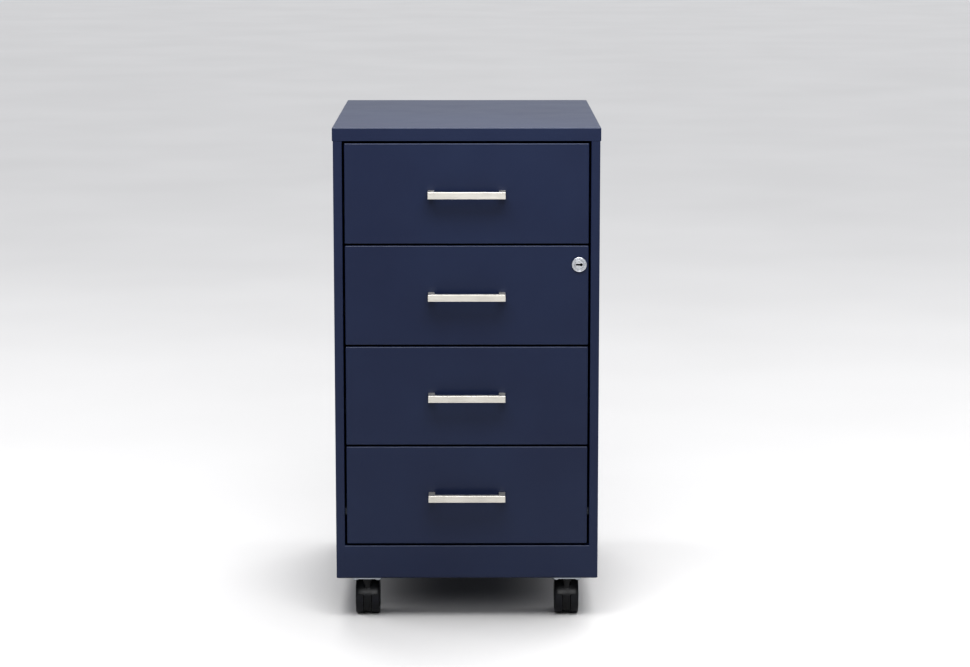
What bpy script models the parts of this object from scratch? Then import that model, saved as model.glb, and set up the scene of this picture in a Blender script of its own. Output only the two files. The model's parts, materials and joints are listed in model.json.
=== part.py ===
"""A four-drawer mobile filing cabinet in painted sheet steel.

Units are metres and +Z is up. The front faces -Y. The origin is on the floor, under the middle of the
cabinet and its handles. Drawers are numbered from the top.
"""

import math

import bmesh
import bpy
from mathutils import Matrix, Vector

# ---- driving dimensions: the cabinet -------------------------------------------------------------
CAP_WIDTH = 0.362  # across the top cap, the widest part
CAP_DEPTH = 0.457
BODY_HEIGHT = 0.622  # from the bottom edge of the sides to the top face
SHEET = 0.0008  # steel of the shell, the drawer fronts and the trays
BEND = 0.0016  # outside radius of a fold
FIT = 0.0003  # gap between pieces that are fastened or rest together
CAP_SKIRT = 0.018  # how far the cap's four edges turn down
STILE_WIDTH = 0.0123  # front edge of a side panel, seen from the front
STILE_RETURN = 0.020  # how far that edge turns back into the cabinet
REAR_FLANGE = 0.018
BASE_RAIL_HEIGHT = 0.0457  # painted rail under the bottom drawer
BASE_PAN_WALL = 0.020
BASE_PAN_FRONT = 0.0030  # the floor pan starts this far behind the front plane, under the base rail

# ---- driving dimensions: the drawers -------------------------------------------------------------
DRAWER_COUNT = 4
TOP_REVEAL = 0.0030
DRAWER_REVEAL = 0.0022
BASE_REVEAL = 0.0025
SIDE_REVEAL = 0.0024
FRONT_DEPTH = 0.014
TRAY_BOTTOM = 0.010  # above the lower edge of the drawer front
TRAY_REAR_CLEARANCE = 0.0200  # to the back panel
TRAY_LIP = 0.004
TRAY_FRONT_MARGIN = 0.0015  # the tray's front wall stops this far inside the drawer front

# ---- driving dimensions: the runners -------------------------------------------------------------
RAIL_SHEET = 0.0012
RAIL_HEIGHT = 0.035
RAIL_CENTRE = 0.045  # above the lower edge of the drawer front
RAIL_SETBACK = 0.0015  # the cabinet rail starts this far behind the stile's return
RAIL_REAR_CLEARANCE = 0.0325  # to the back panel
RAIL_OVERLAP = 0.095  # length that the rails of a pair still share when the drawer is fully open
RAIL_WIDTH = 0.0110  # cabinet rail, across its channel
RAIL_RUN = 0.0006  # running gap between the two rails of a pair
RAIL_SIDE_RUN = 0.0012  # sideways gap between the two rails of a pair
RAIL_INSET = 0.0004  # the cabinet rail's channel stays this far behind the side edge of the front
FOOT_HEIGHT = 0.024
FOOT_PLATE = 0.014
FOOT_INSET = 0.030  # from each end of the rail
TAB_HEIGHT = 0.0095  # front tab of the bottom rails, which shows beside the lowest drawer
TAB_THICKNESS = 0.0014
TAB_FRONT = 0.005
TAB_ROOT = 0.008

# ---- driving dimensions: the handle --------------------------------------------------------------
HANDLE_REACH = 0.025
HANDLE_CENTRES = 0.096  # between the two fixing screws
HANDLE_POST = 0.009
HANDLE_BAR = 0.008
HANDLE_HEIGHT = 0.0095
HANDLE_EDGE = 0.0005
HANDLE_SCREW_HOLE = 0.0022  # radius

# ---- driving dimensions: the lock ----------------------------------------------------------------
LOCK_DRAWER = 2
LOCK_FROM_SIDE = 0.0129  # axis to the drawer front's right edge
LOCK_FROM_TOP = 0.0258
LOCK_HEAD_RADIUS = 0.01025
LOCK_HEAD_PROUD = 0.0030
LOCK_HEAD_CHAMFER = 0.0007
LOCK_BARREL_RADIUS = 0.0080
LOCK_TRAY_CLEARANCE = 0.0028  # between the barrel and the tray's upper edge
PLUG_RADIUS = 0.0060
PLUG_RUN = 0.00015
PLUG_PROUD = 0.0003
TAIL_RADIUS = 0.0030
KEYWAY = (0.0092, 0.0019, 0.0120)  # long, high, deep
NUT_FLATS = 0.0200
NUT_THICKNESS = 0.0030
CAM_CLEARANCE = 0.0008  # in front of the cam and behind it
CAM_WALL_CLEARANCE = 0.0023  # between the turned cam and the side wall
CAM_HUB_RADIUS = 0.0062
CAM_TIP_RADIUS = 0.0040
CAM_THICKNESS = 0.0018
CAM_SCREW_RADIUS = 0.0038
CAM_SCREW_HEAD = 0.0020
CAM_SCREW_CROWN = 0.0027  # radius

# ---- driving dimensions: the casters -------------------------------------------------------------
WHEEL_RADIUS = 0.025
CASTER_WIDTH = 0.033  # over both wheels
CORE_WIDTH = 0.0106
WHEEL_RUN = 0.0004  # between a wheel and the core
WHEEL_EDGE = 0.0018
WHEEL_INNER_EDGE = 0.0006
DISH_RADIUS = 0.0175
DISH_DEPTH = 0.0010
TRAIL = 0.018  # swivel axis to axle
PLATE_SIZE = 0.040
PLATE_THICKNESS = 0.0024
PLATE_CORNER = 0.004
PLATE_HOLE_SPACING = 0.030
PLATE_HOLE_RADIUS = 0.0023
RACE_RADIUS = 0.0120
RACE_TIP_RADIUS = 0.0060
RACE_DROP = 0.0052
PIN_RADIUS = 0.0035
PIN_RUN = 0.00015
PIN_LENGTH = 0.0160  # below the race
SOCKET_RUN = 0.0012  # between the race and the top of the socket
ARCH_CLEARANCE = 0.0012
ARCH_THICKNESS = 0.0020
HOOD_CLEARANCE = 0.0040  # between the arch and the mounting plate
CORE_RECESS = 0.0005  # the core sits this far inside the treads
CORE_FLOOR_CLEARANCE = 0.006
ARCH_ANGLES = (0.0, 164.0)  # degrees, from behind the wheels up, over and down in front of them
ARCH_END_STEP = 4.0  # degrees, the core leaves the arch's wall this far before either end
AXLE_RADIUS = 0.0025
AXLE_END_CLEARANCE = 0.0030  # from the axle's end to the wheel's outer face
CASTER_FROM_SIDE = 0.0417  # swivel axis to the outer face of a side panel
CASTER_FROM_FRONT = 0.026
CASTER_FROM_BACK = 0.052

# ---- how finely round shapes are drawn -----------------------------------------------------------
BEND_STEPS = 3
WHEEL_SEGMENTS = 24
ROUND_SEGMENTS = 24
HOLE_SEGMENTS = 12
EDGE_STEPS = 2

# ---- sizes that follow ---------------------------------------------------------------------------
FRONT_Y = (HANDLE_REACH - CAP_DEPTH) / 2
BACK_Y = FRONT_Y + CAP_DEPTH
INSIDE_DEPTH = CAP_DEPTH - 3 * SHEET - 2 * FIT  # front plane to the back panel's inner face
ARCH_INNER = WHEEL_RADIUS + ARCH_CLEARANCE
ARCH_OUTER = ARCH_INNER + ARCH_THICKNESS
PLATE_BOTTOM = WHEEL_RADIUS + ARCH_OUTER + HOOD_CLEARANCE
PLATE_TOP = PLATE_BOTTOM + PLATE_THICKNESS
BASE_PAN_BOTTOM = PLATE_TOP + FIT
BASE_Z = BASE_PAN_BOTTOM + SHEET + FIT  # lower edge of the sides; the floor pan passes under them
TOP_Z = BASE_Z + BODY_HEIGHT
BODY_HALF = CAP_WIDTH / 2 - SHEET - FIT
BODY_REAR_Y = BACK_Y - SHEET - FIT
OPENING_HALF = BODY_HALF - STILE_WIDTH
BASE_RAIL_TOP = BASE_Z + BASE_RAIL_HEIGHT
FRONT_HEIGHT = (
    BODY_HEIGHT - CAP_SKIRT - TOP_REVEAL
    - (DRAWER_COUNT - 1) * DRAWER_REVEAL - BASE_REVEAL - BASE_RAIL_HEIGHT
) / DRAWER_COUNT
FRONT_HALF = OPENING_HALF - SIDE_REVEAL
RAIL_OUT = FRONT_HALF - RAIL_INSET  # outer face of a cabinet rail's web
RAIL_IN = RAIL_OUT - RAIL_WIDTH + RAIL_SHEET  # inner edge of its flanges
SLIDER_TIP = RAIL_OUT - RAIL_SHEET - RAIL_SIDE_RUN  # outer edge of a drawer rail's flanges
SLIDER_WEB = RAIL_IN - RAIL_RUN - RAIL_SHEET  # inner face of a drawer rail's web
TRAY_HALF = SLIDER_WEB - FIT
TRAY_FRONT = FRONT_DEPTH + FIT
TRAY_LENGTH = INSIDE_DEPTH - TRAY_FRONT - TRAY_REAR_CLEARANCE
RAIL_START = STILE_RETURN + RAIL_SETBACK
RAIL_LENGTH = INSIDE_DEPTH - RAIL_START - RAIL_REAR_CLEARANCE
DRAWER_TRAVEL = RAIL_LENGTH - RAIL_OVERLAP
LOCK_X = FRONT_HALF - LOCK_FROM_SIDE
LOCK_Z = FRONT_HEIGHT - LOCK_FROM_TOP
TRAY_TOP = LOCK_Z - LOCK_BARREL_RADIUS - LOCK_TRAY_CLEARANCE
CAM_FRONT = STILE_RETURN + CAM_CLEARANCE
CAM_LENGTH = BODY_HALF - SHEET - CAM_WALL_CLEARANCE - LOCK_X
LOCK_BARREL_LENGTH = CAM_FRONT - CAM_CLEARANCE
RACE_BOTTOM = PLATE_BOTTOM - RACE_DROP
SOCKET_TOP = RACE_BOTTOM - SOCKET_RUN
PIN_BOTTOM = RACE_BOTTOM - PIN_LENGTH

NAVY = ("cabinet_paint", (0.022, 0.030, 0.066), 0.42, 0.0)
INNER_PAINT = ("drawer_paint", (0.022, 0.030, 0.066), 0.50, 0.0)
NICKEL = ("handle_nickel", (0.72, 0.70, 0.66), 0.30, 1.0)
ZINC = ("runner_zinc", (0.62, 0.64, 0.66), 0.35, 1.0)
CHROME = ("lock_chrome", (0.80, 0.80, 0.82), 0.18, 1.0)
NYLON = ("caster_nylon", (0.012, 0.012, 0.013), 0.30, 0.0)


# ---- meshes --------------------------------------------------------------------------------------
def mesh_from(bm, name="shape"):
    """Turns a bmesh into a mesh whose faces point outwards."""
    bmesh.ops.remove_doubles(bm, verts=bm.verts, dist=1e-7)
    bmesh.ops.recalc_face_normals(bm, faces=bm.faces)
    mesh = bpy.data.meshes.new(name)
    bm.to_mesh(mesh)
    bm.free()
    return mesh


def on_axis(axis, across, up, along):
    """A point given in an axis's own plane and along it: X takes (y, z), Y takes (x, z), Z takes (x, y)."""
    return {"X": (along, across, up), "Y": (across, along, up), "Z": (across, up, along)}[axis]


def block(low, high):
    """A box between two corners."""
    bm = bmesh.new()
    bmesh.ops.create_cube(bm, size=1.0)
    low, high = Vector(low), Vector(high)
    for vert in bm.verts:
        vert.co = Vector(low[i] if vert.co[i] < 0 else high[i] for i in range(3))
    return mesh_from(bm)


def prism(outline, low, high, axis):
    """A closed outline drawn square to an axis, extruded from low to high along it."""
    bm = bmesh.new()
    ends = [[bm.verts.new(on_axis(axis, u, v, along)) for u, v in outline] for along in (low, high)]
    bm.faces.new(ends[0])
    bm.faces.new(ends[1][::-1])
    count = len(outline)
    for i in range(count):
        j = (i + 1) % count
        bm.faces.new((ends[0][i], ends[1][i], ends[1][j], ends[0][j]))
    return mesh_from(bm)


def turned(profile, segments, axis, ring=False):
    """A profile of (radius, distance along the axis), turned. A ring's profile closes on itself."""
    bm = bmesh.new()
    rows = []
    for radius, along in profile:
        if radius == 0:
            rows.append([bm.verts.new(on_axis(axis, 0, 0, along))] * segments)
            continue
        angles = [math.tau * i / segments for i in range(segments)]
        rows.append(
            [bm.verts.new(on_axis(axis, radius * math.cos(a), radius * math.sin(a), along)) for a in angles]
        )
    pairs = list(zip(rows, rows[1:]))
    if ring:
        pairs.append((rows[-1], rows[0]))
    for first, second in pairs:
        for i in range(segments):
            j = (i + 1) % segments
            corners = list(dict.fromkeys((first[i], first[j], second[j], second[i])))
            bm.faces.new(corners)
    return mesh_from(bm)


def cylinder(radius, low, high, axis, segments=HOLE_SEGMENTS):
    """A plain round bar along an axis."""
    return turned([(0, low), (radius, low), (radius, high), (0, high)], segments, axis)


def arc(centre, radius, start, end, steps):
    """Points along an arc, with its angles in degrees."""
    angles = [math.radians(start + (end - start) * i / steps) for i in range(steps + 1)]
    return [(centre[0] + radius * math.cos(a), centre[1] + radius * math.sin(a)) for a in angles]


def folded(path, thickness=SHEET, bend=BEND):
    """The outline of folded sheet. The path is one face of the sheet, which lies to its left."""
    face = []
    points = [Vector(p) for p in path]
    for i, corner in enumerate(points):
        into = (corner - points[i - 1]).normalized() if i else None
        out = (points[i + 1] - corner).normalized() if i + 1 < len(points) else None
        if into is None or out is None:
            way = out or into
            face.append((corner, Vector((-way.y, way.x))))
            continue
        turn = into.angle_signed(out) * -1  # mathutils counts clockwise as positive
        side = 1 if turn > 0 else -1
        reach = bend * math.tan(abs(turn) / 2)
        centre = corner - into * reach + Vector((-into.y, into.x)) * side * bend
        for step in range(BEND_STEPS + 1):
            way = into.copy()
            way.rotate(Matrix.Rotation(turn * step / BEND_STEPS, 2))
            normal = Vector((-way.y, way.x))
            face.append((centre - normal * side * bend, normal))
    outer = [tuple(p) for p, _ in face]
    inner = [tuple(p + n * thickness) for p, n in face]
    return outer + inner[::-1]


def moved(mesh, offset):
    """A copy of a mesh, moved."""
    copy = mesh.copy()
    copy.transform(Matrix.Translation(offset))
    return copy


def mirrored(mesh):
    """A copy of a mesh, as its mirror image from right to left."""
    copy = mesh.copy()
    copy.transform(Matrix.Scale(-1, 4, (1, 0, 0)))
    copy.flip_normals()
    return copy


def modified(mesh, *settings):
    """A mesh with modifiers applied, each given as (type, {setting: value})."""
    holder = bpy.data.objects.new("holder", mesh)
    bpy.context.scene.collection.objects.link(holder)
    for kind, values in settings:
        modifier = holder.modifiers.new(kind, kind)
        for name, value in values.items():
            setattr(modifier, name, value)
    graph = bpy.context.evaluated_depsgraph_get()
    made = bpy.data.meshes.new_from_object(holder.evaluated_get(graph))
    bpy.data.objects.remove(holder)
    return made


def combined(mesh, others, operation):
    """A mesh joined to others or cut by them."""
    for other in others:
        tool = bpy.data.objects.new("tool", other)
        bpy.context.scene.collection.objects.link(tool)
        mesh = modified(mesh, ("BOOLEAN", {"object": tool, "operation": operation, "solver": "EXACT"}))
        bpy.data.objects.remove(tool)
    return mesh


def joined(mesh, *others):
    return combined(mesh, others, "UNION")


def cut(mesh, *others):
    return combined(mesh, others, "DIFFERENCE")


def pan(low, high, *open_sides):
    """A box in folded sheet steel, with rounded folds. Each open side is an (axis, sign)."""
    bm = bmesh.new()
    bmesh.ops.create_cube(bm, size=1.0)
    low, high = Vector(low), Vector(high)
    for vert in bm.verts:
        vert.co = Vector(low[i] if vert.co[i] < 0 else high[i] for i in range(3))
    lids = [max(bm.faces, key=lambda f: sign * f.calc_center_median()[axis]) for axis, sign in open_sides]
    bmesh.ops.delete(bm, geom=lids, context="FACES")
    return modified(
        mesh_from(bm),
        ("BEVEL", {"width": BEND, "segments": EDGE_STEPS, "limit_method": "ANGLE"}),
        ("SOLIDIFY", {"thickness": SHEET, "offset": -1.0, "use_even_offset": True}),
    )


# ---- objects -------------------------------------------------------------------------------------
def paint(finish):
    """The Principled material of a finish, made once."""
    name, colour, roughness, metallic = finish
    found = bpy.data.materials.get(name)
    if found:
        return found
    made = bpy.data.materials.new(name)
    made.use_nodes = True
    shader = made.node_tree.nodes["Principled BSDF"]
    shader.inputs["Base Color"].default_value = (*colour, 1.0)
    shader.inputs["Roughness"].default_value = roughness
    shader.inputs["Metallic"].default_value = metallic
    made.diffuse_color = (*colour, 1.0)
    return made


def place(name, mesh, finish, parent=None, location=(0, 0, 0)):
    """Puts a mesh in the scene as one named sub-part."""
    mesh.name = name
    mesh.materials.clear()
    mesh.materials.append(paint(finish))
    mesh.shade_smooth()
    mesh.set_sharp_from_angle(angle=math.radians(30))
    part = bpy.data.objects.new(name, mesh)
    bpy.context.scene.collection.objects.link(part)
    part.parent = parent
    part.location = location
    return part


def pivot(name, location, parent=None):
    """An empty that carries the pieces of one moving body, on its joint's axis."""
    empty = bpy.data.objects.new(name, None)
    bpy.context.scene.collection.objects.link(empty)
    empty.parent = parent
    empty.location = location
    return empty


# ---- the shell -----------------------------------------------------------------------------------
def side_panel():
    """The right side: wall, front stile with its return, and rear flange, from one folded sheet."""
    path = [
        (OPENING_HALF, FRONT_Y + STILE_RETURN),
        (OPENING_HALF, FRONT_Y),
        (BODY_HALF, FRONT_Y),
        (BODY_HALF, BODY_REAR_Y),
        (BODY_HALF - REAR_FLANGE, BODY_REAR_Y),
    ]
    wall = prism(folded(path), BASE_Z, TOP_Z - SHEET - FIT, "Z")
    room_for_lip = block(
        (OPENING_HALF - FIT, FRONT_Y - FIT, TOP_Z - CAP_SKIRT - FIT),
        (BODY_HALF + FIT, FRONT_Y + BEND + FIT, TOP_Z),
    )
    return cut(wall, room_for_lip)


def build_shell():
    half_cap = CAP_WIDTH / 2
    cap = pan((-half_cap, FRONT_Y, TOP_Z - CAP_SKIRT), (half_cap, BACK_Y, TOP_Z), (2, -1))
    place("cabinet_top", cap, NAVY)

    panel = side_panel()
    place("right_side_panel", panel, NAVY)
    place("left_side_panel", mirrored(panel), NAVY)

    back_face = BODY_REAR_Y - SHEET - FIT
    back_half = BODY_HALF - BEND - FIT
    back = block((-back_half, back_face - SHEET, BASE_Z), (back_half, back_face, TOP_Z - SHEET - FIT))
    place("back_panel", back, NAVY)

    pan_half = BODY_HALF - SHEET - FIT
    floor_pan = pan(
        (-pan_half, FRONT_Y + BASE_PAN_FRONT, BASE_PAN_BOTTOM),
        (pan_half, back_face - SHEET - FIT, BASE_PAN_BOTTOM + BASE_PAN_WALL),
        (2, 1),
        (1, -1),
    )
    place("base_pan", floor_pan, NAVY)

    rail_path = [
        (FRONT_Y + STILE_RETURN, BASE_RAIL_TOP),
        (FRONT_Y, BASE_RAIL_TOP),
        (FRONT_Y, BASE_Z),
        (FRONT_Y + STILE_RETURN, BASE_Z),
    ]
    rail_half = OPENING_HALF - FIT
    place("base_rail", prism(folded(rail_path), -rail_half, rail_half, "X"), NAVY)


# ---- the runners ---------------------------------------------------------------------------------
def cabinet_rail(with_tab):
    """The right-hand channel that stays in the cabinet, with two bent feet that reach the side wall."""
    half = RAIL_HEIGHT / 2
    path = [(RAIL_IN, -half), (RAIL_OUT, -half), (RAIL_OUT, half), (RAIL_IN, half)]
    rail = prism(folded(path, RAIL_SHEET), RAIL_START, RAIL_START + RAIL_LENGTH, "Y")
    wall = BODY_HALF - SHEET - FIT
    buried = RAIL_OUT - RAIL_SHEET / 2
    feet = []
    for at in (RAIL_START + FOOT_INSET, RAIL_START + RAIL_LENGTH - FOOT_INSET):
        outline = [
            (buried, at),
            (wall, at),
            (wall, at + FOOT_PLATE),
            (wall - RAIL_SHEET, at + FOOT_PLATE),
            (wall - RAIL_SHEET, at + RAIL_SHEET),
            (buried, at + RAIL_SHEET),
        ]
        feet.append(prism(outline, -FOOT_HEIGHT / 2, FOOT_HEIGHT / 2, "Z"))
    if with_tab:
        middle = (FRONT_HALF + OPENING_HALF) / 2
        tab = [
            (buried, RAIL_START),
            (middle - TAB_THICKNESS / 2, RAIL_START),
            (middle - TAB_THICKNESS / 2, TAB_FRONT),
            (middle + TAB_THICKNESS / 2, TAB_FRONT),
            (middle + TAB_THICKNESS / 2, RAIL_START + TAB_ROOT),
            (buried, RAIL_START + TAB_ROOT),
        ]
        feet.append(prism(tab, -TAB_HEIGHT / 2, TAB_HEIGHT / 2, "Z"))
    return joined(rail, *feet)


def drawer_rail():
    """The right-hand channel that is fixed to the tray and runs inside the cabinet's."""
    half = RAIL_HEIGHT / 2 - RAIL_SHEET - RAIL_RUN
    start = TRAY_FRONT + SHEET + FIT
    path = [(SLIDER_TIP, half), (SLIDER_WEB, half), (SLIDER_WEB, -half), (SLIDER_TIP, -half)]
    return prism(folded(path, RAIL_SHEET), start, start + RAIL_LENGTH, "Y")


# ---- the drawers ---------------------------------------------------------------------------------
def drawer_front(with_lock):
    """The painted front: a shallow pan, drilled for the handle and, on one drawer, for the lock."""
    shell = pan((-FRONT_HALF, 0, 0), (FRONT_HALF, FRONT_DEPTH, FRONT_HEIGHT), (1, 1))
    through = (-FIT, SHEET + FIT)
    holes = [
        moved(cylinder(HANDLE_SCREW_HOLE, *through, "Y"), (side * HANDLE_CENTRES / 2, 0, FRONT_HEIGHT / 2))
        for side in (-1, 1)
    ]
    if with_lock:
        lock_hole = cylinder(LOCK_BARREL_RADIUS + FIT, *through, "Y", ROUND_SEGMENTS)
        holes.append(moved(lock_hole, (LOCK_X, 0, LOCK_Z)))
    return cut(shell, *holes)


def tray():
    """The drawer's box: bottom and sides from one folded sheet, with a rear wall and a wide front wall."""
    end = TRAY_FRONT + TRAY_LENGTH
    middle = SHEET / 2  # a wall that is welded on ends in the middle of the sheet it meets
    path = [
        (-TRAY_HALF - TRAY_LIP, TRAY_TOP),
        (-TRAY_HALF, TRAY_TOP),
        (-TRAY_HALF, TRAY_BOTTOM),
        (TRAY_HALF, TRAY_BOTTOM),
        (TRAY_HALF, TRAY_TOP),
        (TRAY_HALF + TRAY_LIP, TRAY_TOP),
    ]
    trough = prism(folded(path), TRAY_FRONT + middle, end, "Y")
    rear = block(
        (-TRAY_HALF + middle, end - SHEET - middle, TRAY_BOTTOM + middle),
        (TRAY_HALF - middle, end - middle, TRAY_TOP - middle),
    )
    wide = FRONT_HALF - TRAY_FRONT_MARGIN
    front = block((-wide, TRAY_FRONT, TRAY_FRONT_MARGIN), (wide, TRAY_FRONT + SHEET, TRAY_TOP - middle))
    hole = cylinder(HANDLE_SCREW_HOLE, TRAY_FRONT - FIT, TRAY_FRONT + SHEET + FIT, "Y")
    screws = [moved(hole, (side * HANDLE_CENTRES / 2, 0, FRONT_HEIGHT / 2)) for side in (-1, 1)]
    return cut(joined(trough, rear, front), *screws)


def handle():
    """A square bar pull whose posts run flush into its ends."""
    out = HANDLE_CENTRES / 2 + HANDLE_POST / 2
    inside = HANDLE_CENTRES / 2 - HANDLE_POST / 2
    outline = [
        (-out, -FIT),
        (-out, -HANDLE_REACH),
        (out, -HANDLE_REACH),
        (out, -FIT),
        (inside, -FIT),
        (inside, HANDLE_BAR - HANDLE_REACH),
        (-inside, HANDLE_BAR - HANDLE_REACH),
        (-inside, -FIT),
    ]
    bar = prism(outline, -HANDLE_HEIGHT / 2, HANDLE_HEIGHT / 2, "Z")
    return modified(bar, ("BEVEL", {"width": HANDLE_EDGE, "segments": 1, "limit_method": "ANGLE"}))


def build_drawers():
    drawer_channel = drawer_rail()
    tray_shape, handle_shape = tray(), handle()
    carriers = {}
    for number in range(1, DRAWER_COUNT + 1):
        lower_edge = TOP_Z - CAP_SKIRT - TOP_REVEAL - number * FRONT_HEIGHT - (number - 1) * DRAWER_REVEAL
        carrier = pivot(f"drawer_{number}", (0, FRONT_Y, lower_edge))
        carriers[number] = carrier
        place(f"drawer_front_{number}", drawer_front(number == LOCK_DRAWER), NAVY, carrier)
        place(f"drawer_tray_{number}", tray_shape.copy(), INNER_PAINT, carrier)
        place(f"drawer_handle_{number}", handle_shape.copy(), NICKEL, carrier, (0, 0, FRONT_HEIGHT / 2))
        cabinet_channel = cabinet_rail(number == DRAWER_COUNT)
        at_cabinet = (0, FRONT_Y, lower_edge + RAIL_CENTRE)
        place(f"cabinet_rail_right_{number}", cabinet_channel, ZINC, None, at_cabinet)
        place(f"cabinet_rail_left_{number}", mirrored(cabinet_channel), ZINC, None, at_cabinet)
        at_drawer = (0, 0, RAIL_CENTRE)
        place(f"drawer_rail_right_{number}", drawer_channel.copy(), ZINC, carrier, at_drawer)
        place(f"drawer_rail_left_{number}", mirrored(drawer_channel), ZINC, carrier, at_drawer)
    return carriers


# ---- the lock ------------------------------------------------------------------------------------
def build_lock(carrier):
    """A cam lock. At rest its cam points up; a quarter turn swings it behind the right-hand stile."""
    bore = PLUG_RADIUS + PLUG_RUN
    head = -LOCK_HEAD_PROUD
    housing = turned(
        [
            (bore, head),
            (LOCK_HEAD_RADIUS - LOCK_HEAD_CHAMFER, head),
            (LOCK_HEAD_RADIUS, head + LOCK_HEAD_CHAMFER),
            (LOCK_HEAD_RADIUS, -FIT),
            (LOCK_BARREL_RADIUS, -FIT),
            (LOCK_BARREL_RADIUS, LOCK_BARREL_LENGTH),
            (bore, LOCK_BARREL_LENGTH),
        ],
        ROUND_SEGMENTS,
        "Y",
        ring=True,
    )
    at_lock = (LOCK_X, 0, LOCK_Z)
    place("lock_housing", housing, CHROME, carrier, at_lock)

    nut_front = SHEET + FIT
    nut = cylinder(NUT_FLATS / 2 / math.cos(math.pi / 6), nut_front, nut_front + NUT_THICKNESS, "Y", 6)
    nut_bore = cylinder(LOCK_BARREL_RADIUS + FIT, 0, nut_front + 2 * NUT_THICKNESS, "Y", ROUND_SEGMENTS)
    place("lock_nut", cut(nut, nut_bore), CHROME, carrier, at_lock)

    turning = pivot("lock", at_lock, carrier)
    cam_back = CAM_FRONT + CAM_THICKNESS
    plug = turned(
        [
            (0, head - PLUG_PROUD),
            (PLUG_RADIUS, head - PLUG_PROUD),
            (PLUG_RADIUS, CAM_FRONT - FIT),
            (TAIL_RADIUS, CAM_FRONT - FIT),
            (TAIL_RADIUS, cam_back - FIT),
            (0, cam_back - FIT),
        ],
        ROUND_SEGMENTS,
        "Y",
    )
    long, high, deep = KEYWAY
    mouth = head - PLUG_PROUD
    slot = block((-long / 2, mouth - FIT, -high / 2), (long / 2, mouth + deep, high / 2))
    place("lock_plug", cut(plug, slot), CHROME, turning)

    tip = CAM_LENGTH - CAM_TIP_RADIUS
    lever = arc((0, tip), CAM_TIP_RADIUS, 0, 180, 6) + arc((0, 0), CAM_HUB_RADIUS, 180, 360, 8)
    cam = prism(lever, CAM_FRONT, cam_back, "Y")
    eye = cylinder(TAIL_RADIUS + FIT, CAM_FRONT - FIT, cam_back + FIT, "Y", ROUND_SEGMENTS)
    place("lock_cam", cut(cam, eye), ZINC, turning)

    screw_front = cam_back + FIT
    screw = turned(
        [
            (0, screw_front),
            (CAM_SCREW_RADIUS, screw_front),
            (CAM_SCREW_RADIUS, screw_front + CAM_SCREW_HEAD / 2),
            (CAM_SCREW_CROWN, screw_front + CAM_SCREW_HEAD),
            (0, screw_front + CAM_SCREW_HEAD),
        ],
        HOLE_SEGMENTS,
        "Y",
    )
    place("lock_cam_screw", screw, ZINC, turning)


# ---- the casters ---------------------------------------------------------------------------------
def caster_plate():
    """Mounting plate with its pressed race and the swivel pin riveted into it."""
    half = PLATE_SIZE / 2
    outline = []
    for start, x, y in ((0, 1, 1), (90, -1, 1), (180, -1, -1), (270, 1, -1)):
        centre = (x * (half - PLATE_CORNER), y * (half - PLATE_CORNER))
        outline += arc(centre, PLATE_CORNER, start, start + 90, EDGE_STEPS)
    plate = prism(outline, PLATE_BOTTOM, PLATE_TOP, "Z")
    core = turned(
        [
            (0, PIN_BOTTOM),
            (PIN_RADIUS, PIN_BOTTOM),
            (PIN_RADIUS, RACE_BOTTOM),
            (RACE_TIP_RADIUS, RACE_BOTTOM),
            (RACE_RADIUS, PLATE_BOTTOM),
            (RACE_RADIUS, PLATE_BOTTOM + PLATE_THICKNESS / 2),
            (0, PLATE_BOTTOM + PLATE_THICKNESS / 2),
        ],
        ROUND_SEGMENTS,
        "Z",
    )
    at = PLATE_HOLE_SPACING / 2
    hole = cylinder(PLATE_HOLE_RADIUS, PLATE_BOTTOM - FIT, PLATE_TOP + FIT, "Z")
    holes = [moved(hole, (x * at, y * at, 0)) for x in (-1, 1) for y in (-1, 1)]
    return cut(joined(plate, core), *holes)


def caster_hood():
    """The moulded body: a core between the wheels, a socket for the pin and an arch over the treads."""
    axle = (TRAIL, WHEEL_RADIUS)
    first, last = ARCH_ANGLES
    core_radius = WHEEL_RADIUS - CORE_RECESS
    dip = math.degrees(math.asin((WHEEL_RADIUS - CORE_FLOOR_CLEARANCE) / core_radius))
    core_outline = (
        arc(axle, (ARCH_INNER + ARCH_OUTER) / 2, first + ARCH_END_STEP, last - ARCH_END_STEP, 8)
        + arc(axle, core_radius, last, 180 + dip, 6)
        + arc(axle, core_radius, 360 - dip, 360 + first, 4)
    )
    core = prism(core_outline, -CORE_WIDTH / 2, CORE_WIDTH / 2, "X")
    arch_outline = arc(axle, ARCH_OUTER, first, last, 10) + arc(axle, ARCH_INNER, last, first, 10)
    arch = prism(arch_outline, -CASTER_WIDTH / 2, CASTER_WIDTH / 2, "X")
    socket_radius = CORE_WIDTH / 2 - FIT
    socket = cylinder(socket_radius, WHEEL_RADIUS, SOCKET_TOP, "Z", ROUND_SEGMENTS)
    pin_bore = cylinder(PIN_RADIUS + PIN_RUN, PIN_BOTTOM - FIT, SOCKET_TOP + FIT, "Z", ROUND_SEGMENTS)
    axle_hole = cylinder(AXLE_RADIUS + FIT, -CORE_WIDTH, CORE_WIDTH, "X", ROUND_SEGMENTS)
    return cut(joined(core, arch, socket), pin_bore, moved(axle_hole, (0, TRAIL, WHEEL_RADIUS)))


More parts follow.
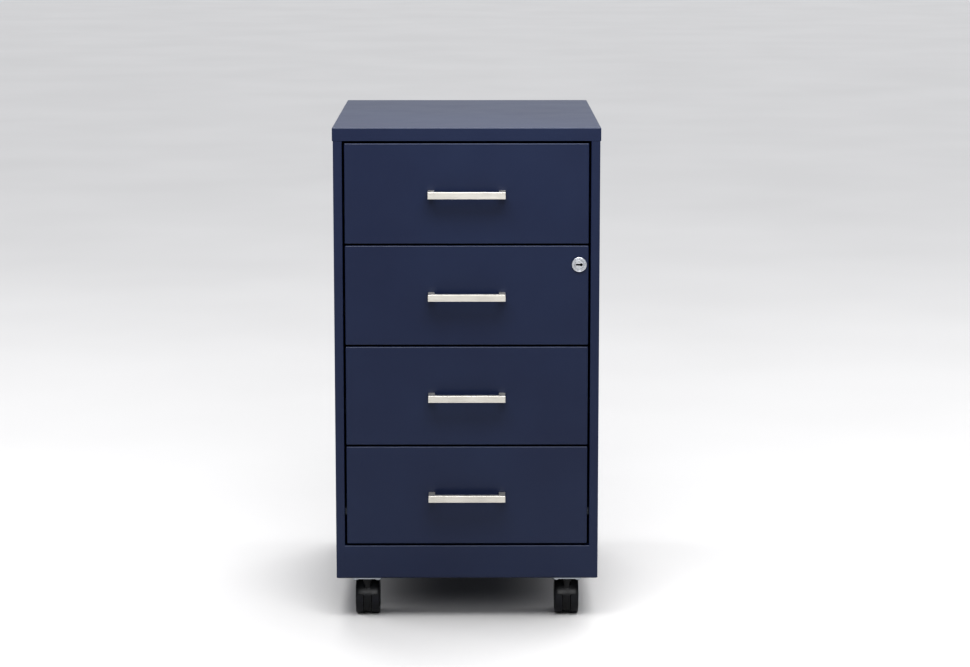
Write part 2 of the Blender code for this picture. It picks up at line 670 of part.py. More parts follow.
def wheel():
    """The right-hand wheel of a pair, turned about X, with a dished face and a blind hub bore."""
    inner = CORE_WIDTH / 2 + WHEEL_RUN
    outer = CASTER_WIDTH / 2
    corner = (WHEEL_RADIUS - WHEEL_EDGE, outer - WHEEL_EDGE)
    profile = [
        (0, outer - AXLE_END_CLEARANCE + FIT),
        (AXLE_RADIUS + FIT, outer - AXLE_END_CLEARANCE + FIT),
        (AXLE_RADIUS + FIT, inner),
        (WHEEL_RADIUS - WHEEL_INNER_EDGE, inner),
        (WHEEL_RADIUS, inner + WHEEL_INNER_EDGE),
        *arc(corner, WHEEL_EDGE, 0, 90, EDGE_STEPS),
        (DISH_RADIUS, outer),
        (DISH_RADIUS - DISH_DEPTH, outer - DISH_DEPTH),
        (0, outer - DISH_DEPTH),
    ]
    return turned(profile, WHEEL_SEGMENTS, "X")


def build_casters():
    plate_shape, hood_shape, wheel_shape = caster_plate(), caster_hood(), wheel()
    axle_half = CASTER_WIDTH / 2 - AXLE_END_CLEARANCE
    axle_shape = cylinder(AXLE_RADIUS, -axle_half, axle_half, "X", ROUND_SEGMENTS)
    corners = {
        "front_left": (-1, FRONT_Y + CASTER_FROM_FRONT),
        "front_right": (1, FRONT_Y + CASTER_FROM_FRONT),
        "rear_left": (-1, BACK_Y - CASTER_FROM_BACK),
        "rear_right": (1, BACK_Y - CASTER_FROM_BACK),
    }
    for corner, (side, y) in corners.items():
        at = (side * (BODY_HALF - CASTER_FROM_SIDE), y, 0)
        place(f"{corner}_caster_plate", plate_shape.copy(), ZINC, None, at)
        swivel = pivot(f"{corner}_caster", at)
        place(f"{corner}_caster_hood", hood_shape.copy(), NYLON, swivel)
        axle = pivot(f"{corner}_axle_line", (0, TRAIL, WHEEL_RADIUS), swivel)
        place(f"{corner}_caster_axle", axle_shape.copy(), ZINC, axle)
        place(f"{corner}_caster_wheel_right", wheel_shape.copy(), NYLON, axle)
        place(f"{corner}_caster_wheel_left", mirrored(wheel_shape), NYLON, axle)


def main():
    for old in list(bpy.data.objects):
        bpy.data.objects.remove(old)
    build_shell()
    carriers = build_drawers()
    build_lock(carriers[LOCK_DRAWER])
    build_casters()


main()
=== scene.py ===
import json
import math

import bmesh
import bpy
from mathutils import Matrix, Vector


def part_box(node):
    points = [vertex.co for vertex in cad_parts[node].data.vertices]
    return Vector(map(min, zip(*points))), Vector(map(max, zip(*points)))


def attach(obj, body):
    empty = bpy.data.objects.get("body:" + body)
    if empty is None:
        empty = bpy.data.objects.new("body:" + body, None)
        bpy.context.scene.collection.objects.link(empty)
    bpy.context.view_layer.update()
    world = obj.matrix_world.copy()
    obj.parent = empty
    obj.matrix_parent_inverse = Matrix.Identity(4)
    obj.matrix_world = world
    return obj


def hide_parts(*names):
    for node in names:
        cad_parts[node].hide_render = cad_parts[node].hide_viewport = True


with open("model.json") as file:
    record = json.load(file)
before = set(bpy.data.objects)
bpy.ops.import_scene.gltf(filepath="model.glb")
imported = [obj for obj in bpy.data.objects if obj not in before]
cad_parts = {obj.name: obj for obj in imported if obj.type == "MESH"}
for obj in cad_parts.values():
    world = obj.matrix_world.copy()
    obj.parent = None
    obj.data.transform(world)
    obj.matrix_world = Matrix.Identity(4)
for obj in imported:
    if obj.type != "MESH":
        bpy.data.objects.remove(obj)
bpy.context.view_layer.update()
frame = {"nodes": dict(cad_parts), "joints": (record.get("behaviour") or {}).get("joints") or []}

jointAt = {joint["name"]: Vector(joint["pos_m"]) for joint in frame["joints"] if "pos_m" in joint}
drawerNumbers = (1, 2, 3, 4)
lockDrawer = 2
casterCorners = ("front_left", "front_right", "rear_left", "rear_right")
sheet = {  # steel of the cabinet, fronts and trays
    "thickness": 0.0008,
    "bend": 0.0016,
    "bendSteps": 6,
    "corner": 0.003,
    "burr": 0.00015,
}
touch = 0.0003  # gap between pieces that rest on each other
clear = 0.001  # how far a cutter runs past the face it cuts
mergeGap = 0.000005  # corners closer than this become one
midNoise = {"From Min": 0.3, "From Max": 0.7}  # where most of a noise pattern's values lie

# small tools for nodes


def toLinear(hexCode):
    parts = [int(hexCode[i:i + 2], 16) / 255 for i in (1, 3, 5)]
    linear = [c / 12.92 if c <= 0.04045 else ((c + 0.055) / 1.055) ** 2.4 for c in parts]
    return (*linear, 1.0)


def perMetre(millimetres):  # how many features of that size fit in a metre
    return 1000 / millimetres


def addNode(tree, kind, settings=None, links=None):  # a linked node gives its first output
    node = tree.nodes.new("ShaderNode" + kind)
    for name, value in (settings or {}).items():
        if name == "stops":
            ramp = node.color_ramp.elements
            while len(ramp) < len(value):
                ramp.new(1.0)
            for stop, (position, hexCode) in zip(ramp, value):
                stop.position, stop.color = position, toLinear(hexCode)
        elif name in node.inputs:
            node.inputs[name].default_value = value
        else:
            setattr(node, name, value)
    for name, source in (links or {}).items():
        socket = source.outputs[0] if isinstance(source, bpy.types.Node) else source
        tree.links.new(socket, node.inputs[name])
    return node


def startMaterial(name):  # patterns follow each piece in its own object coordinates
    material = bpy.data.materials.new(name)
    material.use_nodes = True
    tree = material.node_tree
    tree.nodes.clear()
    return material, tree, addNode(tree, "TexCoord").outputs["Object"]


# materials


def makePowderCoat(name, paint):
    material, tree, where = startMaterial(name)
    cloud = addNode(tree, "TexNoise", {"Scale": perMetre(paint["cloudMm"]), "Detail": 3.0},
                    {"Vector": where})
    tone = addNode(tree, "ValToRGB", {"stops": paint["tones"]}, {"Fac": cloud})
    smudge = addNode(tree, "TexNoise", {"Scale": perMetre(paint["smudgeMm"]), "Detail": 4.0},
                     {"Vector": where})
    low, high = paint["roughness"]
    gloss = addNode(tree, "MapRange", {**midNoise, "To Min": low, "To Max": high}, {"Value": smudge})
    peel = addNode(tree, "TexNoise", {"Scale": perMetre(paint["peelMm"]), "Detail": 1.5}, {"Vector": where})
    flow = addNode(tree, "Bump", {"Strength": 1.0, "Distance": paint["peelDepth"]}, {"Height": peel})
    speck = addNode(tree, "TexNoise", {"Scale": perMetre(paint["speckMm"]), "Detail": 0.0},
                    {"Vector": where})
    fine = addNode(tree, "Bump", {"Strength": 1.0, "Distance": paint["speckDepth"]},
                   {"Height": speck, "Normal": flow})
    shader = addNode(tree, "BsdfPrincipled", {"IOR": paint["ior"]},
                     {"Base Color": tone, "Roughness": gloss, "Normal": fine})
    addNode(tree, "OutputMaterial", links={"Surface": shader})
    return material


# polyester powder coat, sprayed and stoved: a satin skin that flows into a shallow orange peel
cabinetPaint = {
    "ior": 1.46,
    "tones": [(0.35, "#17213b"), (0.65, "#1a253f")],
    "cloudMm": 150,
    "smudgeMm": 55,
    "roughness": (0.36, 0.39),
    "peelMm": 5.0,  # the real peel is about 2 mm across, drawn coarser so that it shows
    "peelDepth": 0.000006,
    "speckMm": 1.2,
    "speckDepth": 0.000003,
}
paintOutside = makePowderCoat("powderCoatedSteelNavy", cabinetPaint)
# the same powder on the drawer boxes and inside faces, sprayed thinner, so it is duller
paintInside = makePowderCoat("powderCoatedSteelNavyInside", {**cabinetPaint, "roughness": (0.46, 0.52)})


def makeGrainedMetal(name, metal):
    material, tree, where = startMaterial(name)
    cloud = addNode(tree, "TexNoise", {"Scale": perMetre(metal["cloudMm"]), "Detail": 3.0},
                    {"Vector": where})
    tone = addNode(tree, "ValToRGB", {"stops": metal["tones"]}, {"Fac": cloud})
    scale = [perMetre(size) for size in metal["grainMm"]]
    stretched = addNode(tree, "Mapping", {"Scale": scale}, {"Vector": where})
    grain = addNode(tree, "TexNoise", {"Scale": 1.0, "Detail": 3.0}, {"Vector": stretched})
    low, high = metal["roughness"]
    gloss = addNode(tree, "MapRange", {**midNoise, "To Min": low, "To Max": high}, {"Value": grain})
    bump = addNode(tree, "Bump", {"Strength": 1.0, "Distance": metal["grainDepth"]}, {"Height": grain})
    stroke = addNode(tree, "Tangent", {"direction_type": "RADIAL", "axis": metal["strokeAxis"]})
    shader = addNode(tree, "BsdfPrincipled", {"Metallic": 1.0, "Anisotropic": metal["anisotropic"]},
                     {"Base Color": tone, "Roughness": gloss, "Normal": bump, "Tangent": stroke})
    addNode(tree, "OutputMaterial", links={"Surface": shader})
    return material


# zinc die casting, brushed along its length and plated in satin nickel: warm and pale, with soft streaks
satinNickel = makeGrainedMetal("satinNickelPlatedZincBrushed", {
    "tones": [(0.3, "#c0bdb6"), (0.7, "#c9c6bf")],
    "cloudMm": 30,
    "grainMm": (40, 0.6, 0.6),  # real strokes are about 0.1 mm wide, drawn coarser so that they show
    "grainDepth": 0.0000018,
    "roughness": (0.31, 0.41),
    "anisotropic": 0.6,
    "strokeAxis": "X",  # the light spreads across the strokes, so the bar also takes it from above
})
# rolled steel with bright zinc plate: cool grey, a little cloudy, with the mill's rolling lines
zinc = {
    "tones": [(0.3, "#9a9ea2"), (0.7, "#adb1b5")],
    "cloudMm": 14,
    "grainMm": (1.5, 30, 1.5),
    "grainDepth": 0.000003,
    "roughness": (0.28, 0.44),
    "anisotropic": 0.3,
    "strokeAxis": "Y",
}
zincPlate = makeGrainedMetal("zincPlatedSteelRolled", zinc)
# the same plate on the runners, left matt by the passivating bath; its tone is darkened as painted shade,
# since the runners sit deep in the narrow gaps between the drawers
zincRunnerShadeDarkened = makeGrainedMetal("zincPlatedSteelDarkenedAsShade", {
    **zinc,
    "tones": [(0.3, "#5c6064"), (0.7, "#6b6f73")],
    "roughness": (0.42, 0.56),
})
# sprung steel shutter behind the keyway, blackened in hot salts: dark and oily
blackOxide = makeGrainedMetal("blackOxideSteelStamped", {
    "tones": [(0.3, "#1b1b1d"), (0.7, "#262628")],
    "cloudMm": 3,
    "grainMm": (6, 0.8, 0.8),
    "grainDepth": 0.000002,
    "roughness": (0.45, 0.6),
    "anisotropic": 0.2,
    "strokeAxis": "X",
})


def makeChrome(name, chrome):
    material, tree, where = startMaterial(name)
    wipe = addNode(tree, "TexNoise", {"Scale": perMetre(chrome["wipeMm"]), "Detail": 3.0},
                   {"Vector": where})
    tone = addNode(tree, "ValToRGB", {"stops": chrome["tones"]}, {"Fac": wipe})
    low, high = chrome["roughness"]
    gloss = addNode(tree, "MapRange", {**midNoise, "To Min": low, "To Max": high}, {"Value": wipe})
    bump = addNode(tree, "Bump", {"Strength": 1.0, "Distance": chrome["wipeDepth"]}, {"Height": wipe})
    shader = addNode(tree, "BsdfPrincipled", {"Metallic": 1.0},
                     {"Base Color": tone, "Roughness": gloss, "Normal": bump})
    addNode(tree, "OutputMaterial", links={"Surface": shader})
    return material


# zinc lock body, tumbled and chrome plated: a soft bright mirror with faint wiping marks
chromePlate = makeChrome("chromePlatedZincTumbled", {
    "tones": [(0.3, "#c9cbcf"), (0.7, "#d5d7da")],
    "wipeMm": 2.5,
    "roughness": (0.26, 0.36),
    "wipeDepth": 0.000003,
})


def makeNylon(name, nylon):
    material, tree, where = startMaterial(name)
    cloud = addNode(tree, "TexNoise", {"Scale": perMetre(nylon["cloudMm"]), "Detail": 2.0},
                    {"Vector": where})
    tone = addNode(tree, "ValToRGB", {"stops": nylon["tones"]}, {"Fac": cloud})
    scuff = addNode(tree, "TexNoise", {"Scale": perMetre(nylon["scuffMm"]), "Detail": 5.0},
                    {"Vector": where})
    low, high = nylon["roughness"]
    gloss = addNode(tree, "MapRange", {**midNoise, "To Min": low, "To Max": high}, {"Value": scuff})
    grain = addNode(tree, "TexNoise", {"Scale": perMetre(nylon["grainMm"]), "Detail": 2.0},
                    {"Vector": where})
    bump = addNode(tree, "Bump", {"Strength": 1.0, "Distance": nylon["grainDepth"]}, {"Height": grain})
    shader = addNode(tree, "BsdfPrincipled", {"IOR": nylon["ior"]},
                     {"Base Color": tone, "Roughness": gloss, "Normal": bump})
    addNode(tree, "OutputMaterial", links={"Surface": shader})
    return material


# polyamide 6, injection moulded in a polished tool: black with a soft gloss
nylonHood = makeNylon("polyamideMouldedBlack", {
    "ior": 1.45,  # handling has dulled its skin, which shines a little less than clean polyamide at 1.53
    "tones": [(0.3, "#040508"), (0.7, "#07080d")],
    "cloudMm": 20,
    "scuffMm": 9,
    "roughness": (0.28, 0.38),
    "grainMm": 1.4,
    "grainDepth": 0.000006,
})
# the same polyamide on the treads, dulled by rolling on a hard floor
nylonTread = makeNylon("polyamideMouldedBlackRolled", {
    "ior": 1.45,
    "tones": [(0.3, "#06070c"), (0.7, "#0c0e17")],
    "cloudMm": 12,
    "scuffMm": 5,
    "roughness": (0.28, 0.42),
    "grainMm": 1.0,
    "grainDepth": 0.000010,
})
print("materials made")

# small tools for meshes


def closeMesh(bm):
    bmesh.ops.remove_doubles(bm, verts=bm.verts, dist=mergeGap)
    bmesh.ops.recalc_face_normals(bm, faces=bm.faces)
    mesh = bpy.data.meshes.new("shape")
    bm.to_mesh(mesh)
    bm.free()
    return mesh


def onAxis(axis, across, up, along):  # X takes (y, z), Y takes (x, z) and Z takes (x, y)
    return {"X": (along, across, up), "Y": (across, along, up), "Z": (across, up, along)}[axis]


def arc(centre, radius, start, end, steps):
    angles = [math.radians(start + (end - start) * i / steps) for i in range(steps + 1)]
    return [(centre[0] + radius * math.cos(a), centre[1] + radius * math.sin(a)) for a in angles]


def extrude(outline, low, high, axis):
    bm = bmesh.new()
    ends = [[bm.verts.new(onAxis(axis, u, v, along)) for u, v in outline] for along in (low, high)]
    bm.faces.new(ends[0])
    bm.faces.new(ends[1][::-1])
    for i in range(len(outline)):
        j = (i + 1) % len(outline)
        bm.faces.new((ends[0][i], ends[1][i], ends[1][j], ends[0][j]))
    return closeMesh(bm)


def lathe(profile, axis, segments, closed=False):  # profile of (radius, distance along the axis)
    bm = bmesh.new()
    rows = []
    for radius, along in profile:
        if radius == 0:
            rows.append([bm.verts.new(onAxis(axis, 0, 0, along))] * segments)
            continue
        turn = [math.tau * i / segments for i in range(segments)]
        ring = [(radius * math.cos(a), radius * math.sin(a)) for a in turn]
        rows.append([bm.verts.new(onAxis(axis, u, v, along)) for u, v in ring])
    for first, second in zip(rows, rows[1:] + (rows[:1] if closed else [])):
        for i in range(segments):
            j = (i + 1) % segments
            bm.faces.new(list(dict.fromkeys((first[i], first[j], second[j], second[i]))))
    return closeMesh(bm)


def rod(radius, low, high, axis, segments):
    return lathe([(0, low), (radius, low), (radius, high), (0, high)], axis, segments)


def blockShape(low, high):
    (x0, y0, z0), (x1, y1, z1) = low, high
    return extrude([(x0, y0), (x1, y0), (x1, y1), (x0, y1)], z0, z1, "Z")


def roundedOutline(low, high, corner):  # a rectangle with round corners
    (u0, v0), (u1, v1) = low, high
    outline = []
    for start, u, v in ((0, u1 - corner, v1 - corner), (90, u0 + corner, v1 - corner),
                        (180, u0 + corner, v0 + corner), (270, u1 - corner, v0 + corner)):
        outline += arc((u, v), corner, start, start + 90, 6)
    return outline


def bentOutline(path, bend=sheet["bend"]):  # the sheet lies to the path's left
    face = []
    points = [Vector(p) for p in path]
    for i, corner in enumerate(points):
        into = (corner - points[i - 1]).normalized() if i else None
        out = (points[i + 1] - corner).normalized() if i + 1 < len(points) else None
        if into is None or out is None:
            way = out or into
            face.append((corner, Vector((-way.y, way.x))))
            continue
        turn = -into.angle_signed(out)
        side = 1 if turn > 0 else -1
        centre = corner - into * bend * math.tan(abs(turn) / 2) + Vector((-into.y, into.x)) * side * bend
        for step in range(sheet["bendSteps"] + 1):
            angle = turn * step / sheet["bendSteps"]
            cosine, sine = math.cos(angle), math.sin(angle)
            way = Vector((into.x * cosine - into.y * sine, into.x * sine + into.y * cosine))
            normal = Vector((-way.y, way.x))
            face.append((centre - normal * side * bend, normal))
    return [tuple(p) for p, _ in face] + [tuple(p + n * sheet["thickness"]) for p, n in face[::-1]]


def withModifiers(mesh, *steps):
    holder = bpy.data.objects.new("holder", mesh)
    bpy.context.scene.collection.objects.link(holder)
    for kind, values in steps:
        modifier = holder.modifiers.new(kind, kind)
        for name, value in values.items():
            setattr(modifier, name, value)
    graph = bpy.context.evaluated_depsgraph_get()
    made = bpy.data.meshes.new_from_object(holder.evaluated_get(graph))
    bpy.data.objects.remove(holder)
    return made


def booleanWith(mesh, others, operation):
    for other in others:
        tool = bpy.data.objects.new("tool", other)
        bpy.context.scene.collection.objects.link(tool)
        mesh = withModifiers(mesh, ("BOOLEAN", {"object": tool, "operation": operation, "solver": "EXACT"}))
        bpy.data.objects.remove(tool)
    bm = bmesh.new()
    bm.from_mesh(mesh)
    return closeMesh(bm)  # merges the slivers left where two edges nearly met


def unite(mesh, *others):
    return booleanWith(mesh, others, "UNION")


def cutOut(mesh, *others):
    return booleanWith(mesh, others, "DIFFERENCE")


def gather(*meshes):  # several loose shapes as one mesh
    bm = bmesh.new()
    for mesh in meshes:
        bm.from_mesh(mesh)
    return closeMesh(bm)


def roundEdges(mesh, width, segments=3):  # only edges that turn by more than 40 degrees
    return withModifiers(mesh, ("BEVEL", {
        "width": width, "segments": segments, "limit_method": "ANGLE", "angle_limit": math.radians(40)}))


def cutPlate(low, high):  # flat sheet facing Y, with its corners cut round and its burr taken off
    outline = roundedOutline((low.x, low.z), (high.x, high.z), sheet["corner"])
    return roundEdges(extrude(outline, low.y, high.y, "Y"), sheet["burr"], 2)


def pressedPan(low, high, openSides):  # a folded tray; an open side is (axis, direction along it)
    shell = bmesh.new()
    shell.from_mesh(blockShape(low, high))
    lids = [max(shell.faces, key=lambda f: sign * f.calc_center_median()[axis]) for axis, sign in openSides]
    bmesh.ops.delete(shell, geom=lids, context="FACES")
    return withModifiers(
        closeMesh(shell),
        ("BEVEL", {"width": sheet["bend"], "segments": sheet["bendSteps"], "limit_method": "ANGLE"}),
        ("SOLIDIFY", {"thickness": sheet["thickness"], "offset": -1.0, "use_even_offset": True}),
    )


def moved(mesh, offset):
    copy = mesh.copy()
    copy.transform(Matrix.Translation(offset))
    return copy


def mirrored(mesh):
    copy = mesh.copy()
    copy.transform(Matrix.Scale(-1, 4, (1, 0, 0)))
    copy.flip_normals()
    return copy


def addPiece(name, mesh, material, body, node=None, crease=35):  # edges past the crease stay sharp
    mesh.shade_smooth()
    mesh.set_sharp_from_angle(angle=math.radians(crease))
    mesh = withModifiers(mesh, ("WEIGHTED_NORMAL", {"keep_sharp": True}))
    mesh.name = name
    mesh.materials.clear()
    mesh.materials.append(material)
    piece = bpy.data.objects.new(name, mesh)
    bpy.context.scene.collection.objects.link(piece)
    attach(piece, body)
    if node:
        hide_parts(node)


def dressNode(node, material):  # a CAD node whose shape is right keeps it and gets the finish
    mesh = frame["nodes"][node].data
    mesh.materials.clear()
    mesh.materials.append(material)


# cabinet shell

shell = {
    "stile": 0.0123,  # front edge of a side, as seen from the front
    "stileReturn": 0.020,
    "rearFlange": 0.018,
    "lip": 0.018,  # front lip of the top cap
    "weldPitch": 0.068,
    "weldRadius": 0.0024,
    "weldDepth": 0.00012,
    "weldDish": ((0, -1), (0.5, -0.75), (1, 0), (1, 1), (0, 1)),  # shares of that radius and depth
}


def makeSidePanel():  # one bent sheet: the stile in front, the side wall and the flange at the back
    low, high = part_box("right_side_panel")
    inner = high.x - shell["stile"]
    path = [
        (inner, low.y + shell["stileReturn"]),
        (inner, low.y),
        (high.x, low.y),
        (high.x, high.y),
        (high.x - shell["rearFlange"], high.y),
    ]
    wall = extrude(bentOutline(path), low.z, high.z, "Z")
    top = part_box("cabinet_top")[1].z
    lipRoom = blockShape(
        (inner - touch, low.y - touch, top - shell["lip"] - touch),
        (high.x + touch, low.y + sheet["bend"] + touch, top),
    )
    # shallow round marks where the rear flange is spot welded to the back
    depth, radius, pitch = shell["weldDepth"], shell["weldRadius"], shell["weldPitch"]
    mark = lathe([(radius * across, depth * along) for across, along in shell["weldDish"]], "Y", 20)
    count = int((high.z - low.z) / pitch)
    first = (low.z + high.z - (count - 1) * pitch) / 2
    flangeMiddle = high.x - shell["rearFlange"] / 2
    marks = [moved(mark, (flangeMiddle, high.y, first + i * pitch)) for i in range(count)]
    return cutOut(wall, lipRoom, gather(*marks))


sidePanel = makeSidePanel()
addPiece("rightSidePanel", sidePanel, paintOutside, "cabinet", "right_side_panel")
addPiece("leftSidePanel", mirrored(sidePanel), paintOutside, "cabinet", "left_side_panel")

topCap = pressedPan(*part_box("cabinet_top"), [(2, -1)])
addPiece("topCap", topCap, paintOutside, "cabinet", "cabinet_top")
floorPan = pressedPan(*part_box("base_pan"), [(2, 1), (1, -1)])
addPiece("floorPan", floorPan, paintOutside, "cabinet", "base_pan")
backPanel = cutPlate(*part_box("back_panel"))
addPiece("backPanel", backPanel, paintOutside, "cabinet", "back_panel")


def makeBaseRail():  # a channel, open towards the back
    low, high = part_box("base_rail")
    path = [(high.y, high.z), (low.y, high.z), (low.y, low.z), (high.y, low.z)]
    # the weld at each end fills the stile's bend and is ground flush before painting
    return extrude(bentOutline(path), low.x - sheet["bend"], high.x + sheet["bend"], "X")


addPiece("baseRail", makeBaseRail(), paintOutside, "cabinet", "base_rail")
print("cabinet shell made")

# screws and rivets

heads = {  # shares of a head's radius and height
    "panCrown": ((0, 1), (0.45, 0.97), (0.75, 0.82), (0.93, 0.5), (1, 0.15), (1, 0), (0, 0)),
    "recessReach": 0.5,
    "recessFloor": 0.45,
    "rivetDome": ((0, 1), (0.5, 0.88), (0.85, 0.5), (1, 0), (0, 0)),
}


def makePanHead(radius, height, recess):  # a pan head facing -Y, with a cross recess
    head = lathe([(radius * across, -height * up) for across, up in heads["panCrown"]], "Y", 32)
    reach, floor = radius * heads["recessReach"], -height * heads["recessFloor"]
    slots = [
        blockShape((-reach, -height - touch, -recess / 2), (reach, floor, recess / 2)),
        blockShape((-recess / 2, -height - touch, -reach), (recess / 2, floor, reach)),
    ]
    return cutOut(head, *slots)


def makeRivet(radius, height):  # a low domed rivet head facing +X
    return lathe([(radius * across, height * up) for across, up in heads["rivetDome"]], "X", 24)


# drawers

tray = {
    "lip": 0.004,
    "lipDrop": 0.003,  # the side walls' lips turn down at their outer edge
    "bottom": 0.010,
    "bend": 0.0012,
    "rearFlange": 0.010,
    "screwRadius": 0.0038,
    "screwHeight": 0.0022,
    "screwRecess": 0.0009,
    "rivetRadius": 0.0026,
    "rivetHeight": 0.0009,
    "rivetInset": 0.045,
    "rivets": 3,  # on each side
}
bar = {
    "post": 0.009,
    "depth": 0.008,
    "edge": 0.00055,
    "centres": 0.096,
}


def makeTray(number):  # a trough of two side walls and the bottom, closed by a rear and a front wall
    low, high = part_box(f"drawer_tray_{number}")
    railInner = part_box(f"drawer_rail_right_{number}")[0].x
    half = railInner - touch
    frontWall = low.y + sheet["thickness"]
    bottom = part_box(f"drawer_front_{number}")[0].z + tray["bottom"]
    outer = half + tray["lip"]
    path = [
        (-outer, high.z - tray["lipDrop"]), (-outer, high.z), (-half, high.z), (-half, bottom),
        (half, bottom), (half, high.z), (outer, high.z), (outer, high.z - tray["lipDrop"]),
    ]
    trough = extrude(bentOutline(path, tray["bend"]), frontWall + touch, high.y, "Y")
    inside = half - sheet["thickness"] - touch
    rear = pressedPan(
        (-inside, high.y - tray["rearFlange"], bottom + sheet["thickness"] + touch),
        (inside, high.y - touch, high.z - touch),
        [(1, -1)],
    )
    front = cutPlate(low, Vector((high.x, frontWall, high.z)))
    return trough, rear, front


def makeHandle(number):  # a flat bar with a post at each end, cast in one
    low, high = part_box(f"drawer_handle_{number}")
    post, depth = bar["post"], bar["depth"]
    outline = [
        (low.x, high.y), (low.x, low.y), (high.x, low.y), (high.x, high.y),
        (high.x - post, high.y), (high.x - post, low.y + depth),
        (low.x + post, low.y + depth), (low.x + post, high.y),
    ]
    return roundEdges(extrude(outline, low.z, high.z, "Z"), bar["edge"])


panHead = makePanHead(tray["screwRadius"], tray["screwHeight"], tray["screwRecess"])
panHead.transform(Matrix.Rotation(math.pi, 4, "Z"))  # seen from inside the drawer
rivet = makeRivet(tray["rivetRadius"], tray["rivetHeight"])
for number in drawerNumbers:
    body = f"drawer_{number}"
    low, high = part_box(f"drawer_front_{number}")
    front = pressedPan(low, high, [(1, 1)])
    addPiece(f"drawerFront{number}", front, paintOutside, body, f"drawer_front_{number}")

    trough, rear, frontWall = makeTray(number)
    addPiece(f"trayBox{number}", trough, paintInside, body, f"drawer_tray_{number}")
    addPiece(f"trayRearWall{number}", rear, paintInside, body)
    addPiece(f"trayFrontWall{number}", frontWall, paintInside, body)

    addPiece(f"barHandle{number}", makeHandle(number), satinNickel, body,
             f"drawer_handle_{number}")

    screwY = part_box(f"drawer_tray_{number}")[0].y + sheet["thickness"]
    for label, side in (("Left", -1), ("Right", 1)):
        at = (side * bar["centres"] / 2, screwY, (low.z + high.z) / 2)
        addPiece(f"handleScrew{label}{number}", moved(panHead, at), zincPlate, body)

    railLow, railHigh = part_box(f"drawer_rail_right_{number}")
    wall = railLow.x - touch - sheet["thickness"]
    span = railHigh.y - railLow.y - 2 * tray["rivetInset"]
    rivets = []
    for i in range(tray["rivets"]):
        along = railLow.y + tray["rivetInset"] + span * i / (tray["rivets"] - 1)
        at = (-wall, along, (railLow.z + railHigh.z) / 2)
        rivets += [moved(rivet, at), mirrored(moved(rivet, at))]
    addPiece(f"trayRivets{number}", gather(*rivets), zincPlate, body)

    # the runners take the zinc whose darker tone is painted shade for the gaps between the drawers
    for side in ("left", "right"):
        dressNode(f"drawer_rail_{side}_{number}", zincRunnerShadeDarkened)
        dressNode(f"cabinet_rail_{side}_{number}", zincRunnerShadeDarkened)
print("drawers made")

# lock

lock = {
    "headRadius": 0.01025,
    "faceRadius": 0.0096,  # flat of the head, inside its rounded rim
    "ring": (0.0076, 0.0089),  # shallow ring turned into that flat
    "ringDepth": 0.00045,
    "ringSlope": 0.0003,
    "rimRound": (0.00025, 0.0008),
    "boreChamfer": (0.0004, 0.0005),
    "barrelChamfer": 0.0006,
    "barrelRadius": 0.0080,
    "threadDepth": 0.00035,
    "threadPitch": 0.00125,
    "threadStart": 0.003,
    "threadEnd": 0.001,
    "bore": 0.00615,
    "plugRadius": 0.0060,
    "plugChamfer": 0.0003,
    "tailRadius": 0.0030,
    "keyLength": 0.0092,
    "keyHeight": 0.0022,
    "keyRound": 0.0020,  # the keyway widens to a round at its right-hand end
    "keyDepth": 0.0105,
    "shutterDepth": 0.0013,
    "shutterGap": 0.00008,
    "shutterEdge": 0.0002,
}


def makeLockHousing(low, high, face):  # along Y from the drawer's face, with the head in front of it
    head, back = low.y - face, high.y - face
    radius, barrel, bore = lock["headRadius"], lock["barrelRadius"], lock["bore"]
    (inner, outer), slope, ringFloor = lock["ring"], lock["ringSlope"], head + lock["ringDepth"]
    (boreSide, boreDeep), (rimSide, rimDeep) = lock["boreChamfer"], lock["rimRound"]
    profile = [
        (bore, head + boreDeep), (bore + boreSide, head), (inner, head), (inner + slope, ringFloor),
        (outer - slope, ringFloor), (outer, head), (lock["faceRadius"], head),
        (radius - rimSide, head + rimSide), (radius, head + rimDeep), (radius, -touch), (barrel, -touch),
    ]
    pitch, depth = lock["threadPitch"], lock["threadDepth"]
    turns = int((back - lock["threadStart"] - lock["threadEnd"]) / pitch)
    for i in range(turns):
        start = lock["threadStart"] + i * pitch
        profile += [(barrel, start), (barrel - depth, start + pitch / 2)]
    chamfer = lock["barrelChamfer"]
    profile += [(barrel, back - chamfer), (barrel - chamfer, back), (bore, back)]
    return lathe(profile, "Y", 64, closed=True)


def keywayOutline(gap):  # a slot across the plug; the gap makes it smaller all round
    half, rise, radius = lock["keyLength"] / 2 - gap, lock["keyHeight"] / 2 - gap, lock["keyRound"] - gap
    reach = math.degrees(math.asin(rise / radius))
    return [(-half, rise), (-half, -rise)] + arc((half - radius, 0), radius, reach - 180, 180 - reach, 14)


def makeLockPlug(low, high, face):  # the plug with its keyway, and the shutter inside it
    front, back = low.y - face, high.y - face
    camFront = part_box("lock_cam")[0].y - face
    radius, tail, chamfer = lock["plugRadius"], lock["tailRadius"], lock["plugChamfer"]
    profile = [
        (0, front), (radius - chamfer, front), (radius, front + chamfer), (radius, camFront - touch),
        (tail, camFront - touch), (tail, back), (0, back),
    ]
    slot = extrude(keywayOutline(0), front - touch, front + lock["keyDepth"], "Y")
    shutter = extrude(keywayOutline(lock["shutterGap"]), front + lock["shutterDepth"],
                      front + lock["keyDepth"] - lock["shutterGap"], "Y")
    return cutOut(lathe(profile, "Y", 64), slot), roundEdges(shutter, lock["shutterEdge"], 2)


lockAt = jointAt["lock_turn"]
housing = makeLockHousing(*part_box("lock_housing"), lockAt.y)
addPiece("lockHousing", moved(housing, lockAt), chromePlate, f"drawer_{lockDrawer}",
         "lock_housing")
plug, shutter = makeLockPlug(*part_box("lock_plug"), lockAt.y)
addPiece("lockPlug", moved(plug, lockAt), chromePlate, "lock", "lock_plug", crease=28)
addPiece("lockShutter", moved(shutter, lockAt), blackOxide, "lock")
dressNode("lock_nut", zincPlate)
dressNode("lock_cam", zincPlate)
dressNode("lock_cam_screw", zincPlate)
print("lock made")

# casters

